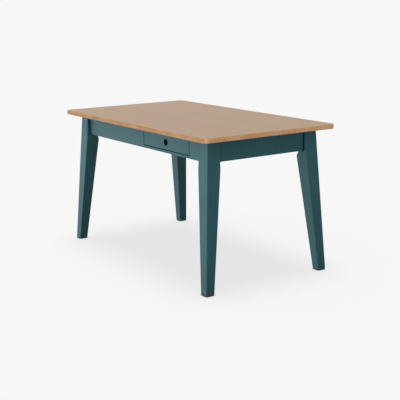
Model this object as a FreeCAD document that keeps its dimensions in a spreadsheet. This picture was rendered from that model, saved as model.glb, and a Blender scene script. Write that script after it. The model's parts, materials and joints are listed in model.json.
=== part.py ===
"""Dining table: an oak top on a painted frame with four splayed legs and one drawer.

Millimetres, +Z up. X runs along the top, the drawer is on the -Y side, and the
origin is on the floor under the middle of the top.
"""
import FreeCAD
import Part
import Sketcher
import os
import re

doc = FreeCAD.newDocument("DiningTable")

# Driving dimensions: alias, value in millimetres or degrees, meaning
SIZES = (
    ("top_length", 1400, "tabletop along X"),
    ("top_width", 800, "tabletop along Y"),
    ("table_height", 760, "floor to the upper face of the top"),
    ("top_thickness", 23, "tabletop panel"),
    ("top_corner", 25, "plan radius of the top's corners"),
    ("top_edge", 2, "rounding of the top's arrises"),
    ("end_overhang", 72, "top's short edge to the outer face of a leg's head"),
    ("side_overhang", 67, "top's long edge to the outer face of a leg's head"),
    ("leg_head", 68, "square head of a leg, at the top"),
    ("leg_foot", 47, "square foot of a leg"),
    ("leg_splay", 3.5, "lean of a leg's outer faces, degrees"),
    ("leg_edge", 3, "rounding of a leg's outer long edges"),
    ("inner_bevel", 1.5, "bevel of a leg's inner corner, along the diagonal"),
    ("foot_edge", 2, "chamfer round a leg's foot"),
    ("knee_drop", 32, "apron's lower edge to where a leg starts to taper"),
    ("flat_lift", 23, "apron's lower edge up to where the leg's bolting flat starts to run out"),
    ("glide_thickness", 3, "foot glide under a leg"),
    ("glide_diameter", 30, "foot glide"),
    ("glide_edge", 1, "bevel of the glide's lower edge"),
    ("apron_height", 110, "aprons"),
    ("apron_thickness", 20, "aprons"),
    ("apron_setback", 14, "outer face of a leg's head to the apron's outer face"),
    ("apron_edge", 1.5, "rounding of the aprons' arrises"),
    ("block_height", 80, "corner block"),
    ("block_thickness", 28, "corner block, along the bolts"),
    ("block_gap", 12, "bolting flat to the corner block"),
    ("tongue_length", 8, "corner block's tongue in an apron"),
    ("tongue_thickness", 8, "corner block's tongue"),
    ("bolt_diameter", 8, "hanger bolt"),
    ("bolt_depth", 40, "hanger bolt in the leg"),
    ("bolt_tail", 4, "hanger bolt past its nut"),
    ("bolt_spacing", 40, "between a leg's two bolts"),
    ("bolt_clearance", 0.5, "round a bolt in the corner block"),
    ("thread_clearance", 0.1, "round a bolt in the leg and in its nut"),
    ("nut_across", 14.5, "across the corners of a nut"),
    ("nut_height", 6.5, "nut"),
    ("plate_width", 22, "steel plate under a leg's two nuts"),
    ("plate_length", 66, "steel plate, along the leg"),
    ("plate_thickness", 2, "steel plate"),
    ("bracket_size", 25, "top bracket, each wing"),
    ("bracket_width", 20, "top bracket"),
    ("bracket_thickness", 2, "top bracket's plate"),
    ("bracket_hole", 4.6, "top bracket's screw holes"),
    ("bracket_hole_offset", 15, "bracket's corner to its holes"),
    ("bracket_place", 275, "brackets on the long aprons, from the middle of the table"),
    ("drawer_margin", 105.5, "head of the right leg to the drawer's window"),
    ("window_width", 420, "drawer's window in the front apron"),
    ("window_height", 80, "drawer's window in the front apron"),
    ("window_sill", 14, "apron under the window"),
    ("drawer_gap", 2, "round the drawer front in its window"),
    ("drawer_depth", 400, "drawer, front face to rear"),
    ("drawer_travel", 260, "how far the drawer slides out"),
    ("stop_clearance", 0.5, "drawer to its stops"),
    ("front_thickness", 20, "drawer front"),
    ("front_edge", 1, "rounding of the drawer front's arrises"),
    ("finger_hole", 34, "finger hole in the drawer front"),
    ("finger_edge", 1.5, "chamfer of the finger hole's rims"),
    ("side_thickness", 12, "drawer sides"),
    ("back_thickness", 12, "drawer back"),
    ("back_drop", 2, "drawer back's upper edge under that of the sides"),
    ("back_housing", 4, "drawer back let into the sides"),
    ("bottom_thickness", 6, "drawer bottom"),
    ("bottom_rise", 8, "drawer bottom over the lower edge of the sides"),
    ("bottom_groove", 6, "drawer bottom let into the sides and front"),
    ("dovetail_lap", 6, "drawer front in front of the dovetails"),
    ("dovetail_width", 17, "wide end of a dovetail"),
    ("dovetail_slope", 8, "flare of a dovetail, degrees"),
    ("slide_clearance", 0.3, "drawer sides over the runners"),
    ("guide_clearance", 1, "drawer sides to the runners' guides"),
    ("runner_ledge", 18, "runner under the drawer side"),
    ("runner_guide", 12, "runner beside the drawer"),
    ("runner_height", 50, "runner"),
    ("bearer_thickness", 18, "drawer bearers"),
    ("tenon_thickness", 8, "bearers' end tenons"),
    ("tenon_length", 10, "bearers' end tenons"),
    ("tenon_shoulder", 20, "bearer's edge to its tenon"),
    ("stop_length", 25, "drawer stop blocks"),
    ("stop_height", 25, "drawer stop blocks"),
    ("rail_length", 180, "pull stop rail"),
    ("rail_thickness", 20, "pull stop rail"),
    ("rail_drop", 10, "pull stop rail under the drawer back's upper edge"),
)
SHEET = "Sizes"
ALIAS = re.compile(r"\b(" + "|".join(alias for alias, _, _ in SIZES) + r")\b")
DOVETAILS = 3
# How far a cut runs past the wood that it is made in
OVERCUT = "5"

# The signs of each corner's X and Y
CORNERS = {
    "back_right": (1, 1),
    "back_left": (-1, 1),
    "front_left": (-1, -1),
    "front_right": (1, -1),
}
DRAWER_SIDES = {"left": -1, "right": 1}
UP = FreeCAD.Vector(0, 0, 1)

# Heights
UNDERSIDE = "(table_height - top_thickness)"
APRON_BOTTOM = f"({UNDERSIDE} - apron_height)"
KNEE = f"({APRON_BOTTOM} - knee_drop)"
FOOT = "glide_thickness"
BLOCK_MIDDLE = f"({UNDERSIDE} - block_height / 2)"
SILL = f"({APRON_BOTTOM} + window_sill)"
LINTEL = f"({SILL} + window_height)"
FRONT_BOTTOM = f"({SILL} + drawer_gap)"
FRONT_TOP = f"({LINTEL} - drawer_gap)"
SIDE_BOTTOM = f"({SILL} + slide_clearance)"
PANEL_BOTTOM = f"({SIDE_BOTTOM} + bottom_rise)"
PANEL_TOP = f"({PANEL_BOTTOM} + bottom_thickness)"
BACK_TOP = f"({FRONT_TOP} - back_drop)"
RAIL_BOTTOM = f"({BACK_TOP} - rail_drop)"

# A corner's own axes start where the inner faces of its leg's head would meet
CORNER_X = "(top_length / 2 - end_overhang - leg_head)"
CORNER_Y = "(top_width / 2 - side_overhang - leg_head)"
FOOT_OUTER = f"(leg_head + ({UNDERSIDE} - {FOOT}) * tan(leg_splay))"
FOOT_INNER = f"({FOOT_OUTER} - leg_foot)"
FOOT_MIDDLE = f"({FOOT_OUTER} - leg_foot / 2)"
APRON_OUTER = "(leg_head - apron_setback)"
APRON_INNER = f"({APRON_OUTER} - apron_thickness)"
# Along the corner's diagonal: the leg's bolting flat and the faces of the corner block
FLAT = f"({APRON_INNER} / sqrt(2))"
BLOCK_OUTER = f"({FLAT} - block_gap)"
BLOCK_INNER = f"({BLOCK_OUTER} - block_thickness)"

# Faces of the aprons and the drawer, from the middle of the table
FACE_X = f"({CORNER_X} + {APRON_OUTER})"
INSIDE_X = f"({CORNER_X} + {APRON_INNER})"
FACE_Y = f"({CORNER_Y} + {APRON_OUTER})"
INSIDE_Y = f"({CORNER_Y} + {APRON_INNER})"
FRONT_INNER = f"(front_thickness - {FACE_Y})"
TAIL_LENGTH = "(front_thickness - dovetail_lap)"
DRAWER_REAR = f"(drawer_depth - {FACE_Y})"
BACK_FACE = f"({DRAWER_REAR} - back_thickness)"

# The drawer's middle, and half widths about it
DRAWER_MIDDLE = f"({CORNER_X} - drawer_margin - window_width / 2)"
DRAWER_HALF = "(window_width / 2 - drawer_gap)"
BOX_HALF = f"({DRAWER_HALF} - side_thickness)"
GUIDE_HALF = f"({DRAWER_HALF} + guide_clearance)"
LEDGE_HALF = f"({GUIDE_HALF} - runner_ledge)"
BEARER_HALF = f"({GUIDE_HALF} + runner_guide)"


def formula(text):
    """The text as an expression on the sheet's cells."""
    return ALIAS.sub(SHEET + r".\1", text)


def value(text):
    """The number that a formula gives at present."""
    return float(sheet.evalExpression(formula(text)))


def bind(thing, prop, text):
    """Tie a property of an object to a formula."""
    thing.setExpression(prop, formula(text))


def fill_sheet():
    """The spreadsheet with every driving dimension under its alias."""
    cells = doc.addObject("Spreadsheet::Sheet", SHEET)
    for row, (alias, size, meaning) in enumerate(SIZES, start=1):
        cells.set(f"A{row}", meaning)
        cells.set(f"B{row}", str(size))
        cells.setAlias(f"B{row}", alias)
    doc.recompute()
    return cells


def new_body(label):
    """An empty body."""
    body = doc.addObject("PartDesign::Body", label)
    body.Label = label
    return body


def new_sketch(body, plane, base=("0", "0", "0"), turn=0):
    """A sketch on an origin plane of the body, moved by base and turned about the plane's own Y."""
    sketch = body.newObject("Sketcher::SketchObject", "Sketch")
    support = next(f for f in body.Origin.OriginFeatures if f.Role == plane)
    sketch.AttachmentSupport = [(support, "")]
    sketch.MapMode = "FlatFace"
    rotation = FreeCAD.Rotation(FreeCAD.Vector(0, 1, 0), turn)
    sketch.AttachmentOffset = FreeCAD.Placement(FreeCAD.Vector(), rotation)
    for axis, text in zip("xyz", base):
        bind(sketch, f"AttachmentOffset.Base.{axis}", text)
    return sketch


def pin_point(sketch, geometry, point, place):
    """Hold a point of a sketch's geometry at two formulas."""
    axes = ((-2, "DistanceX"), (-1, "DistanceY"))
    for (axis, kind), text in zip(axes, place):
        if text == "0":
            sketch.addConstraint(Sketcher.Constraint("PointOnObject", geometry, point, axis))
            continue
        rule = sketch.addConstraint(Sketcher.Constraint(kind, -1, 1, geometry, point, value(text)))
        bind(sketch, f"Constraints[{rule}]", text)


def add_outline(sketch, corners):
    """A closed outline of straight lines through corners given as formulas."""
    points = [FreeCAD.Vector(value(u), value(v), 0) for u, v in corners]
    first = sketch.GeometryCount
    count = len(points)
    for index, point in enumerate(points):
        sketch.addGeometry(Part.LineSegment(point, points[(index + 1) % count]))
    for index in range(count):
        following = first + (index + 1) % count
        sketch.addConstraint(Sketcher.Constraint("Coincident", first + index, 2, following, 1))
    for index, corner in enumerate(corners):
        pin_point(sketch, first + index, 1, corner)


def add_rectangle(sketch, low, high):
    """A rectangle between two opposite corners."""
    add_outline(sketch, [low, (high[0], low[1]), high, (low[0], high[1])])


def add_circle(sketch, centre, diameter):
    """A circle about a point given as formulas."""
    middle = FreeCAD.Vector(value(centre[0]), value(centre[1]), 0)
    radius = value(diameter) / 2
    circle = sketch.addGeometry(Part.Circle(middle, UP, radius))
    pin_point(sketch, circle, 3, centre)
    rule = sketch.addConstraint(Sketcher.Constraint("Diameter", circle, 2 * radius))
    bind(sketch, f"Constraints[{rule}]", diameter)


def pad(body, sketch, length, both_ways=False):
    """Extrude a sketch along its normal, or half the length each way."""
    feature = body.newObject("PartDesign::Pad", "Pad")
    feature.Profile = sketch
    feature.SideType = "Symmetric" if both_ways else "One side"
    bind(feature, "Length", length)
    doc.recompute()
    return feature


def pocket(body, sketch, length=None, along_normal=False):
    """Cut a sketch to a depth against or along its normal, or right through both ways."""
    before = body.Shape.Volume
    feature = body.newObject("PartDesign::Pocket", "Pocket")
    feature.Profile = sketch
    if length is None:
        feature.Type = "ThroughAll"
        feature.SideType = "Symmetric"
    else:
        feature.Reversed = along_normal
        bind(feature, "Length", length)
    doc.recompute()
    if body.Shape.Volume >= before:
        raise RuntimeError(f"a pocket of {body.Label} cuts nothing")
    return feature


def edges_where(feature, test):
    """Names of a feature's edges that pass a test."""
    return [f"Edge{i}" for i, edge in enumerate(feature.Shape.Edges, start=1) if test(edge)]


def dress(body, kind, base, test, size):
    """Round or chamfer the edges of a feature that pass a test."""
    feature = body.newObject(f"PartDesign::{kind}", kind)
    feature.Base = (base, edges_where(base, test))
    bind(feature, "Radius" if kind == "Fillet" else "Size", size)
    doc.recompute()
    return feature


def near(first, second):
    """Whether two lengths are the same, to a thousandth."""
    return abs(first - second) < 0.001


def lies_on(axis, text):
    """A test for edges that lie in the plane where an axis has a formula's value."""
    level = value(text)
    ends = axis + "Min", axis + "Max"
    return lambda edge: all(near(getattr(edge.BoundBox, end), level) for end in ends)


def runs_along(axis):
    """A test for edges parallel to an axis."""
    others = [name for name in "XYZ" if name != axis]
    return lambda edge: all(near(getattr(edge.BoundBox, name + "Length"), 0) for name in others)


def on_faces(feature, facing):
    """A test for edges of a feature's faces whose normals pass a test."""
    edges = [edge for face in feature.Shape.Faces if facing(face.normalAt(0, 0)) for edge in face.Edges]
    return lambda edge: any(edge.isSame(other) for other in edges)


def board(label, low, high):
    """A plain rectangular board between two corners."""
    body = new_body(label)
    outline = new_sketch(body, "XY_Plane", ("0", "0", low[2]))
    add_rectangle(outline, low[:2], high[:2])
    pad(body, outline, f"({high[2]} - {low[2]})")
    return body


def turned(label, profile):
    """A solid of revolution about Z from a profile of radius and height."""
    body = new_body(label)
    outline = new_sketch(body, "XZ_Plane")
    add_outline(outline, profile)
    feature = body.newObject("PartDesign::Revolution", "Revolution")
    feature.Profile = outline
    feature.ReferenceAxis = (outline, ["V_Axis"])
    feature.Angle = 360
    return body


def place(source, at, rotation):
    """A turned copy of an object, with its origin at three formulas."""
    copy = doc.addObject("App::Link", "Copy")
    copy.LinkedObject = source
    copy.Placement = FreeCAD.Placement(FreeCAD.Vector(), rotation)
    for axis, text in zip("xyz", at):
        bind(copy, f"Placement.Base.{axis}", text)
    return copy


def group(label, members):
    """Several solids under one label."""
    compound = doc.addObject("Part::Compound", label)
    compound.Label = label
    compound.Links = members
    return compound


def cut_for(label, blank, pieces):
    """A blank with the room for other pieces taken out of it."""
    cut = doc.addObject("Part::Cut", label)
    cut.Label = label
    cut.Base = blank
    cut.Tool = group(label + "_room", pieces)
    return cut


def set_in_corner(thing, corner):
    """Turn an object from the back right corner's axes to those of a corner, and move it there."""
    sign_x, sign_y = CORNERS[corner]
    turned_x = FreeCAD.Vector(sign_x + sign_y, sign_y - sign_x, 0)
    rotation = FreeCAD.Rotation(turned_x, FreeCAD.Vector(), UP, "ZXY")
    thing.Placement = FreeCAD.Placement(FreeCAD.Vector(), rotation)
    bind(thing, "Placement.Base.x", f"{sign_x} * {CORNER_X}")
    bind(thing, "Placement.Base.y", f"{sign_y} * {CORNER_Y}")
    return thing


def on_diagonal(corner, along, level):
    """A point at equal distances from the two inner faces of a corner's leg."""
    sign_x, sign_y = CORNERS[corner]
    return f"{sign_x} * ({CORNER_X} + {along})", f"{sign_y} * ({CORNER_Y} + {along})", level


def bolt_levels():
    """Heights of a leg's two bolts."""
    return [f"({BLOCK_MIDDLE} {sign} bolt_spacing / 2)" for sign in "-+"]


def make_leg(corner):
    """A leg tapered on its two inner faces, with a flat for its bolts on the inner corner."""
    leg = new_body(f"{corner}_leg")
    side = new_sketch(leg, "YZ_Plane")
    add_outline(side, [
        ("leg_head", UNDERSIDE), (FOOT_OUTER, FOOT), (FOOT_INNER, FOOT), ("0", KNEE), ("0", UNDERSIDE),
    ])
    pad(leg, side, FOOT_OUTER)
    waste = new_sketch(leg, "XZ_Plane")
    past = f"({FOOT_OUTER} + {OVERCUT})"
    add_outline(waste, [
        ("leg_head", UNDERSIDE), (FOOT_OUTER, FOOT), (past, FOOT), (past, UNDERSIDE),
    ])
    add_outline(waste, [
        ("0", KNEE), (FOOT_INNER, FOOT), (f"-{OVERCUT}", FOOT), (f"-{OVERCUT}", KNEE),
    ])
    pocket(leg, waste)

    # Along the diagonal the flat runs out at the knee, and a bevel goes on from there to the foot
    flat = new_sketch(leg, "XZ_Plane", turn=45)
    flat_end = f"({APRON_BOTTOM} + flat_lift)"
    foot_bevel = f"(sqrt(2) * {FOOT_INNER} + inner_bevel)"
    add_outline(flat, [
        (f"-{OVERCUT}", UNDERSIDE), (FLAT, UNDERSIDE), (FLAT, flat_end),
        ("inner_bevel", KNEE), (foot_bevel, FOOT), (f"-{OVERCUT}", FOOT),
    ])
    flattened = pocket(leg, flat)
    footed = dress(leg, "Chamfer", flattened, lies_on("Z", FOOT), "foot_edge")
    lean = value("sin(leg_splay)")

    def faces_out(normal):
        """The two outer faces, which lean by the splay."""
        return near(normal.z, lean) and round(max(normal.x, normal.y)) == 1

    outer = on_faces(footed, faces_out)
    dress(leg, "Fillet", footed, lambda edge: outer(edge) and not near(edge.BoundBox.ZLength, 0), "leg_edge")

    half = f"({APRON_INNER} / 2)"
    bores = new_sketch(leg, "XZ_Plane", (half, "0", f"-{half}"), turn=-45)
    for level in bolt_levels():
        add_circle(bores, ("0", level), "(bolt_diameter + 2 * thread_clearance)")
    pocket(leg, bores, "bolt_depth")
    return set_in_corner(leg, corner)


def make_corner_block(corner):
    """A block across the corner, tongued into both aprons and bored for the leg's bolts."""
    block = new_body(f"{corner}_corner_block")
    face = APRON_INNER
    outer, inner = (f"({distance} * sqrt(2) - {face})" for distance in (BLOCK_OUTER, BLOCK_INNER))
    tip = f"({face} + tongue_length)"
    cheeks = [f"(({outer} + {inner}) / 2 {sign} tongue_thickness / 2)" for sign in "+-"]
    half = [
        (face, outer), (face, cheeks[0]), (tip, cheeks[0]),
        (tip, cheeks[1]), (face, cheeks[1]), (face, inner),
    ]
    plan = new_sketch(block, "XY_Plane", ("0", "0", f"({UNDERSIDE} - block_height)"))
    add_outline(plan, half + [(v, u) for u, v in reversed(half)])
    pad(block, plan, "block_height")
    bores = new_sketch(block, "XZ_Plane", turn=-45)
    for level in bolt_levels():
        add_circle(bores, ("0", level), "(bolt_diameter + 2 * bolt_clearance)")
    pocket(block, bores)
    return set_in_corner(block, corner)


def make_glides():
    """The nylon glides under the legs' feet."""
    radius = "(glide_diameter / 2)"
    glide = turned("glide", [
        ("0", "0"), (f"({radius} - glide_edge)", "0"), (radius, "glide_edge"),
        (radius, "glide_thickness"), ("0", "glide_thickness"),
    ])
    seats = [on_diagonal(corner, FOOT_MIDDLE, "0") for corner in CORNERS]
    return group("foot_glides", [place(glide, seat, FreeCAD.Rotation()) for seat in seats])


def make_nut():
    """A hexagon nut that stands on Z 0."""
    blank = doc.addObject("Part::Prism", "nut_blank")
    blank.Polygon = 6
    bind(blank, "Circumradius", "nut_across / 2")
    bind(blank, "Height", "nut_height")
    thread = doc.addObject("Part::Cylinder", "nut_thread")
    bind(thread, "Radius", "bolt_diameter / 2 + thread_clearance")
    bind(thread, "Height", "nut_height")
    nut = doc.addObject("Part::Cut", "nut")
    nut.Base = blank
    nut.Tool = thread
    return nut


def make_plate():
    """A steel plate with its outer face on Z 0, bored for a leg's two bolts."""
    plate = new_body("plate")
    face = new_sketch(plate, "XY_Plane", ("0", "0", "-plate_thickness"))
    half_width, half_length = "plate_width / 2", "plate_length / 2"
    add_rectangle(face, (f"-{half_width}", f"-{half_length}"), (half_width, half_length))
    for sign in "-+":
        add_circle(face, ("0", f"{sign}bolt_spacing / 2"), "(bolt_diameter + 2 * bolt_clearance)")
    pad(plate, face, "plate_thickness")
    return plate


def make_leg_hardware():
    """Hanger bolts, plates and nuts of all four legs, on the inner faces of the corner blocks."""
    radius = "(bolt_diameter / 2)"
    tail_end = "(plate_thickness + nut_height + bolt_tail)"
    leg_end = "(block_thickness + block_gap + bolt_depth)"
    bolt = turned("bolt", [
        ("0", f"-{tail_end}"), (radius, f"-{tail_end}"), (radius, leg_end), ("0", leg_end),
    ])
    plate, nut = make_plate(), make_nut()
    block_face = f"({BLOCK_INNER} / sqrt(2))"
    nut_end = f"(({BLOCK_INNER} - plate_thickness - nut_height) / sqrt(2))"
    bolts, plates, nuts = [], [], []
    for corner, (sign_x, sign_y) in CORNERS.items():
        outwards = FreeCAD.Rotation(FreeCAD.Vector(), UP, FreeCAD.Vector(sign_x, sign_y, 0), "ZYX")
        plates.append(place(plate, on_diagonal(corner, block_face, BLOCK_MIDDLE), outwards))
        for level in bolt_levels():
            bolts.append(place(bolt, on_diagonal(corner, block_face, level), outwards))
            nuts.append(place(nut, on_diagonal(corner, nut_end, level), outwards))
    return [group("leg_bolts", bolts), group("leg_plates", plates), group("leg_nuts", nuts)]


def make_bracket():
    """A steel angle whose wings lie on an apron, at X 0, and on the top, at Z 0."""
    bracket = new_body("top_bracket")
    section = new_sketch(bracket, "XZ_Plane")
    add_outline(section, [
        ("0", "0"), ("bracket_size", "0"), ("bracket_size", "-bracket_thickness"),
        ("bracket_thickness", "-bracket_thickness"), ("bracket_thickness", "-bracket_size"),
        ("0", "-bracket_size"),
    ])
    pad(bracket, section, "bracket_width", both_ways=True)
    apron_hole = new_sketch(bracket, "YZ_Plane")
    add_circle(apron_hole, ("0", "-bracket_hole_offset"), "bracket_hole")
    pocket(bracket, apron_hole, "bracket_thickness", along_normal=True)
    top_hole = new_sketch(bracket, "XY_Plane")
    add_circle(top_hole, ("bracket_hole_offset", "0"), "bracket_hole")
    pocket(bracket, top_hole, "bracket_thickness")
    return bracket


def make_top_brackets():
    """The brackets that hold the top to the aprons, each turned with its top wing inwards."""
    bracket = make_bracket()
    seats = [
        ("-bracket_place", f"-{INSIDE_Y}", 90),
        ("-bracket_place", INSIDE_Y, -90),
        (DRAWER_MIDDLE, INSIDE_Y, -90),
        (f"-{INSIDE_X}", "0", 0),
        (INSIDE_X, "0", 180),
    ]
    copies = [place(bracket, (x, y, UNDERSIDE), FreeCAD.Rotation(UP, turn)) for x, y, turn in seats]
    return group("top_brackets", copies)


def make_top():
    """The tabletop, rounded in plan and along its arrises."""
    top = new_body("table_top")
    plan = new_sketch(top, "XY_Plane", ("0", "0", UNDERSIDE))
    half_length, half_width = "top_length / 2", "top_width / 2"
    add_rectangle(plan, (f"-{half_length}", f"-{half_width}"), (half_length, half_width))
    panel = pad(top, plan, "top_thickness")
    rounded = dress(top, "Fillet", panel, runs_along("Z"), "top_corner")
    eased = dress(top, "Fillet", rounded, lies_on("Z", "table_height"), "top_edge")
    dress(top, "Chamfer", eased, lies_on("Z", UNDERSIDE), "top_edge")
    return top


def make_long_apron(label, side, window, fitted):
    """A front or back apron, with room for the pieces let into it."""
    blank = new_body(f"{label}_blank")
    plane_y = INSIDE_Y if side < 0 else f"-{FACE_Y}"
    face = new_sketch(blank, "XZ_Plane", ("0", "0", plane_y))
    add_rectangle(face, (f"-{CORNER_X}", APRON_BOTTOM), (CORNER_X, UNDERSIDE))
    if window:
        low_x, high_x = (beside_drawer(sign, "window_width / 2") for sign in (-1, 1))
        add_rectangle(face, (low_x, SILL), (high_x, LINTEL))
    padded = pad(blank, face, "apron_thickness")
    outer, lower = lies_on("Y", f"{side} * {FACE_Y}"), lies_on("Z", APRON_BOTTOM)
    along = runs_along("X")
    reach = value(CORNER_X)

    def shown(edge):
        """The lower arrises and those round the window's outer face."""
        inside_ends = not near(edge.BoundBox.XMax, reach) and not near(edge.BoundBox.XMin, -reach)
        return (outer(edge) and inside_ends) or (lower(edge) and along(edge))

    dress(blank, "Fillet", padded, shown, "apron_edge")
    return cut_for(label, blank, fitted)


def make_short_apron(label, side, fitted):
    """A left or right apron, with room for the pieces let into it."""
    blank = new_body(f"{label}_blank")
    plane_x = INSIDE_X if side > 0 else f"-{FACE_X}"
    face = new_sketch(blank, "YZ_Plane", ("0", "0", plane_x))
    add_rectangle(face, (f"-{CORNER_Y}", APRON_BOTTOM), (CORNER_Y, UNDERSIDE))
    padded = pad(blank, face, "apron_thickness")
    lower, along = lies_on("Z", APRON_BOTTOM), runs_along("Y")
    dress(blank, "Fillet", padded, lambda edge: lower(edge) and along(edge), "apron_edge")
    return cut_for(label, blank, fitted)


def beside_drawer(side, half):
    """The X of something at a half width from the drawer's middle."""
    return f"({DRAWER_MIDDLE} + {side} * ({half}))"


def make_bearer(name, side):
    """A rail between the long aprons, tenoned into both."""
    bearer = new_body(f"drawer_bearer_{name}")
    inner = beside_drawer(side, BEARER_HALF)
    outer = beside_drawer(side, f"{BEARER_HALF} + bearer_thickness")
    plan = new_sketch(bearer, "XY_Plane", ("0", "0", APRON_BOTTOM))
    add_rectangle(plan, (inner, f"-{INSIDE_Y}"), (outer, INSIDE_Y))
    pad(bearer, plan, "apron_height")
    middle = f"{BEARER_HALF} + bearer_thickness / 2"
    tenon_inner = beside_drawer(side, f"{middle} - tenon_thickness / 2")
    tenon_outer = beside_drawer(side, f"{middle} + tenon_thickness / 2")
    tenon_end = f"({INSIDE_Y} + tenon_length)"
    tenons = new_sketch(bearer, "XY_Plane", ("0", "0", f"({APRON_BOTTOM} + tenon_shoulder)"))
    add_rectangle(tenons, (tenon_inner, f"-{tenon_end}"), (tenon_outer, tenon_end))
    pad(bearer, tenons, "(apron_height - 2 * tenon_shoulder)")
    return bearer


def make_runner(name, side):
    """A rebated rail: a ledge under the drawer side and a guide beside it."""
    runner = new_body(f"drawer_runner_{name}")
    section = new_sketch(runner, "XZ_Plane", ("0", "0", f"-{INSIDE_Y}"))
    ledge, guide, outer = (beside_drawer(side, half) for half in (LEDGE_HALF, GUIDE_HALF, BEARER_HALF))
    upper = f"({APRON_BOTTOM} + runner_height)"
    add_outline(section, [
        (ledge, APRON_BOTTOM), (outer, APRON_BOTTOM), (outer, upper),
        (guide, upper), (guide, SILL), (ledge, SILL),
    ])
    pad(runner, section, f"(2 * {INSIDE_Y})")
    return runner


def make_kicker(name, side):
    """A rail over the drawer side that stops the open drawer tipping."""
    return board(
        f"drawer_kicker_{name}",
        (beside_drawer(side, LEDGE_HALF), f"-{INSIDE_Y}", LINTEL),
        (beside_drawer(side, BEARER_HALF), INSIDE_Y, UNDERSIDE),
    )


def make_drawer_stop(name, side):
    """A block on the runner's ledge that the drawer side meets when shut."""
    start = f"({DRAWER_REAR} + stop_clearance)"
    return board(
        f"drawer_stop_{name}",
        (beside_drawer(side, LEDGE_HALF), start, SILL),
        (beside_drawer(side, GUIDE_HALF), f"({start} + stop_length)", f"({SILL} + stop_height)"),
    )


def make_pull_stop():
    """The rail under the top that the drawer back meets when pulled out."""
    rear = f"({BACK_FACE} - drawer_travel - stop_clearance)"
    low_x, high_x = (beside_drawer(side, "rail_length / 2") for side in (-1, 1))
    return board(
        "pull_stop_rail", (low_x, f"({rear} - rail_thickness)", RAIL_BOTTOM), (high_x, rear, UNDERSIDE),
    )


def make_drawer_side(name, side, fitted):
    """A drawer side with dovetails on its front end and room for the pieces let into it."""
    blank = new_body(f"drawer_side_{name}_blank")
    inner_x, outer_x = beside_drawer(side, BOX_HALF), beside_drawer(side, DRAWER_HALF)
    profile = new_sketch(blank, "YZ_Plane", ("0", "0", inner_x if side > 0 else outer_x))
    tip = f"({FRONT_INNER} - {TAIL_LENGTH})"
    wide = "dovetail_width / 2"
    narrow = f"({wide} - {TAIL_LENGTH} * tan(dovetail_slope))"
    pitch = f"(({FRONT_TOP} - {FRONT_BOTTOM}) / {DOVETAILS})"
    corners = [(FRONT_INNER, SIDE_BOTTOM)]
    for index in range(DOVETAILS):
        middle = f"{FRONT_BOTTOM} + {index + 0.5} * {pitch}"
        corners += [
            (FRONT_INNER, f"({middle} - {narrow})"), (tip, f"({middle} - {wide})"),
            (tip, f"({middle} + {wide})"), (FRONT_INNER, f"({middle} + {narrow})"),
        ]
    corners += [(FRONT_INNER, FRONT_TOP), (DRAWER_REAR, FRONT_TOP), (DRAWER_REAR, SIDE_BOTTOM)]
    add_outline(profile, corners)
    pad(blank, profile, "side_thickness")
    return cut_for(f"drawer_side_{name}", blank, fitted)


def make_drawer_front(fitted):
    """The drawer front with its finger hole and room for the pieces let into it."""
    blank = new_body("drawer_front_blank")
    face = new_sketch(blank, "XZ_Plane", ("0", "0", f"-{FRONT_INNER}"))
    low_x, high_x = (beside_drawer(side, DRAWER_HALF) for side in (-1, 1))
    add_rectangle(face, (low_x, FRONT_BOTTOM), (high_x, FRONT_TOP))
    add_circle(face, (DRAWER_MIDDLE, f"(({FRONT_BOTTOM} + {FRONT_TOP}) / 2)"), "finger_hole")
    padded = pad(blank, face, "front_thickness")
    outer, inner = lies_on("Y", f"-{FACE_Y}"), lies_on("Y", FRONT_INNER)

    def is_round(edge):
        """The finger hole's edges."""
        return isinstance(edge.Curve, Part.Circle)

    def is_rim(edge):
        """The finger hole's two rims."""
        return is_round(edge) and (outer(edge) or inner(edge))

    rimmed = dress(blank, "Chamfer", padded, is_rim, "finger_edge")
    dress(blank, "Fillet", rimmed, lambda edge: outer(edge) and not is_round(edge), "front_edge")
    return cut_for("drawer_front", blank, fitted)


def make_drawer():
    """The drawer's pieces."""
    low_x, high_x = (beside_drawer(side, f"{BOX_HALF} + bottom_groove") for side in (-1, 1))
    bottom = board(
        "drawer_bottom",
        (low_x, f"({FRONT_INNER} - bottom_groove)", PANEL_BOTTOM), (high_x, DRAWER_REAR, PANEL_TOP),
    )
    low_x, high_x = (beside_drawer(side, f"{BOX_HALF} + back_housing") for side in (-1, 1))
    back = board("drawer_back", (low_x, BACK_FACE, PANEL_TOP), (high_x, DRAWER_REAR, BACK_TOP))
    sides = [make_drawer_side(name, side, [bottom, back]) for name, side in DRAWER_SIDES.items()]
    return [bottom, back, *sides, make_drawer_front([bottom, *sides])]


def make_table():
    """Every sub-part of the table."""
    blocks = [make_corner_block(corner) for corner in CORNERS]
    bearers = [make_bearer(name, side) for name, side in DRAWER_SIDES.items()]
    legs = [make_leg(corner) for corner in CORNERS]
    parts = [make_top(), make_top_brackets(), make_pull_stop(), make_glides(), *make_leg_hardware()]
    parts += [*legs, *blocks, *bearers]
    for name, side in DRAWER_SIDES.items():
        parts += [make_runner(name, side), make_kicker(name, side), make_drawer_stop(name, side)]
    parts += [
        make_long_apron("front_apron", -1, True, blocks + bearers),
        make_long_apron("back_apron", 1, False, blocks + bearers),
        make_short_apron("left_apron", -1, blocks),
        make_short_apron("right_apron", 1, blocks),
    ]
    return parts + make_drawer()


def check(parts):
    """Stop if any object failed or any sub-part's shape is not sound."""
    for thing in doc.Objects:
        if {"Invalid", "Error"} & set(thing.State):
            raise RuntimeError(f"{thing.Label} failed: {thing.State}")
    for part in parts:
        if part.Shape.isNull() or not part.Shape.isValid():
            raise RuntimeError(f"{part.Label} has no sound shape")


def export(parts):
    """Write each sub-part under its label."""
    os.makedirs("parts", exist_ok=True)
    for part in parts:
        part.Shape.exportStep(f"parts/{part.Label}.step")


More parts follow.
